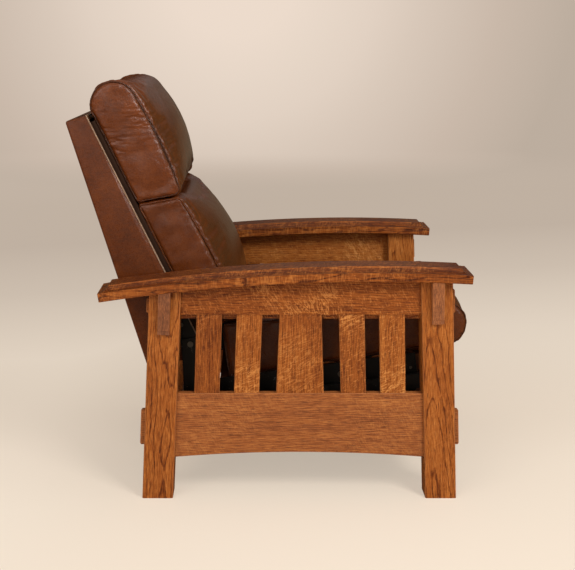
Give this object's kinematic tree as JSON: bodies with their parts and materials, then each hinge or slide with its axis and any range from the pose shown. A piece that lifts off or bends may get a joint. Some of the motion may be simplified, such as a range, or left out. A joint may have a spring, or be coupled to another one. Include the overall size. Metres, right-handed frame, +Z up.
{
  "type": "mission reclining armchair",
  "caption": "Oak mission recliner with slatted splayed side panels, bowed arms, leather seat and back cushions, a back that tilts and a footrest that folds out.",
  "frame": {"origin": "on the floor under the middle of the chair's width and depth", "axes": "+Z up, -Y the way the sitter faces, +X to the sitter's left"},
  "size_m": [0.838, 1.0656, 1.1007],
  "materials": {
    "oak": "satin",
    "frame_wood": "matte",
    "leather": "satin",
    "black_steel": "satin",
    "bright_steel": "satin",
    "nylon": "matte"
  },
  "bodies": {
    "frame": {"front_post_left": "oak", "front_post_right": "oak", "rear_post_left": "oak", "rear_post_right": "oak", "arm_left": "oak", "arm_right": "oak", "top_rail_left": "oak", "top_rail_right": "oak", "bottom_rail_left": "oak", "bottom_rail_right": "oak", "narrow_slats_left": "oak", "narrow_slats_right": "oak", "centre_slat_left": "oak", "centre_slat_right": "oak", "corbels_left": "oak", "corbels_right": "oak", "front_stretcher": "oak", "rear_stretcher": "oak", "corner_brackets": "black_steel", "slide_channel_left": "black_steel", "slide_channel_right": "black_steel", "corner_bracket_screws": "bright_steel", "channel_screws": "bright_steel"},
    "seat": {"seat_frame_sides": "frame_wood", "seat_frame_front": "frame_wood", "seat_frame_rear": "frame_wood", "seat_springs": "bright_steel", "seat_cushion": "leather", "carriage_plate_left": "black_steel", "carriage_plate_right": "black_steel", "seat_spacer_bolts": "bright_steel", "slide_shoes": "nylon", "drive_pivot_pins": "bright_steel", "steering_pivot_pins": "bright_steel"},
    "back": {"back_shell": "leather", "back_frame_uprights": "frame_wood", "back_frame_rails": "frame_wood", "back_springs": "bright_steel", "back_bracket_left": "black_steel", "back_bracket_right": "black_steel", "back_bracket_bolts": "bright_steel", "recline_pivot_pins": "bright_steel", "lower_back_cushion": "leather", "upper_back_cushion": "leather"},
    "drive_links": {"drive_link_left": "black_steel", "drive_link_right": "black_steel", "drive_cross_tube": "black_steel", "knee_pins": "bright_steel"},
    "outer_links": {"outer_link_left": "black_steel", "outer_link_right": "black_steel", "tail_pins": "bright_steel"},
    "steering_links": {"steering_link_left": "black_steel", "steering_link_right": "black_steel"},
    "footrest": {"ankle_pins": "bright_steel", "footrest_bracket_left": "black_steel", "footrest_bracket_right": "black_steel", "footrest_board": "frame_wood", "footrest_pad": "leather", "footrest_screws": "bright_steel"}
  },
  "joints": [
    {"name": "seat_slide", "type": "slide", "parent": "frame", "child": "seat", "axis": [0, -0.991, 0.134], "range_m": [0, 0.06]},
    {"name": "back_recline", "type": "hinge", "parent": "seat", "child": "back", "pos_m": [0, 0.21766, 0.39974], "axis": [-1, 0, 0], "range_deg": [0, 30], "stiffness_Nm_per_rad": 80, "springref_deg": -20.05},
    {"name": "footrest_open", "type": "hinge", "parent": "seat", "child": "drive_links", "pos_m": [0, -0.3723, 0.33521], "axis": [-1, 0, 0], "range_deg": [0, 115]},
    {"name": "outer_fold", "type": "hinge", "parent": "drive_links", "child": "outer_links", "pos_m": [0, -0.31416, 0.17546], "axis": [-1, 0, 0], "range_deg": [-165, 0]},
    {"name": "footrest_turn", "type": "hinge", "parent": "outer_links", "child": "footrest", "pos_m": [0, -0.40425, 0.31963], "axis": [-1, 0, 0], "range_deg": [0, 140]},
    {"name": "steering_fold", "type": "hinge", "parent": "seat", "child": "steering_links", "pos_m": [0, -0.32728, 0.34728], "axis": [-1, 0, 0], "range_deg": [0, 107.5]}
  ],
  "couplings": [
    {"joint": "seat_slide", "follows": "back_recline", "m_per_rad": 0.11459},
    {"joint": "outer_fold", "follows": "footrest_open", "ratio": -1.4348},
    {"joint": "footrest_turn", "follows": "footrest_open", "ratio": 1.2174},
    {"joint": "steering_fold", "follows": "footrest_open", "ratio": 0.93478}
  ]
}
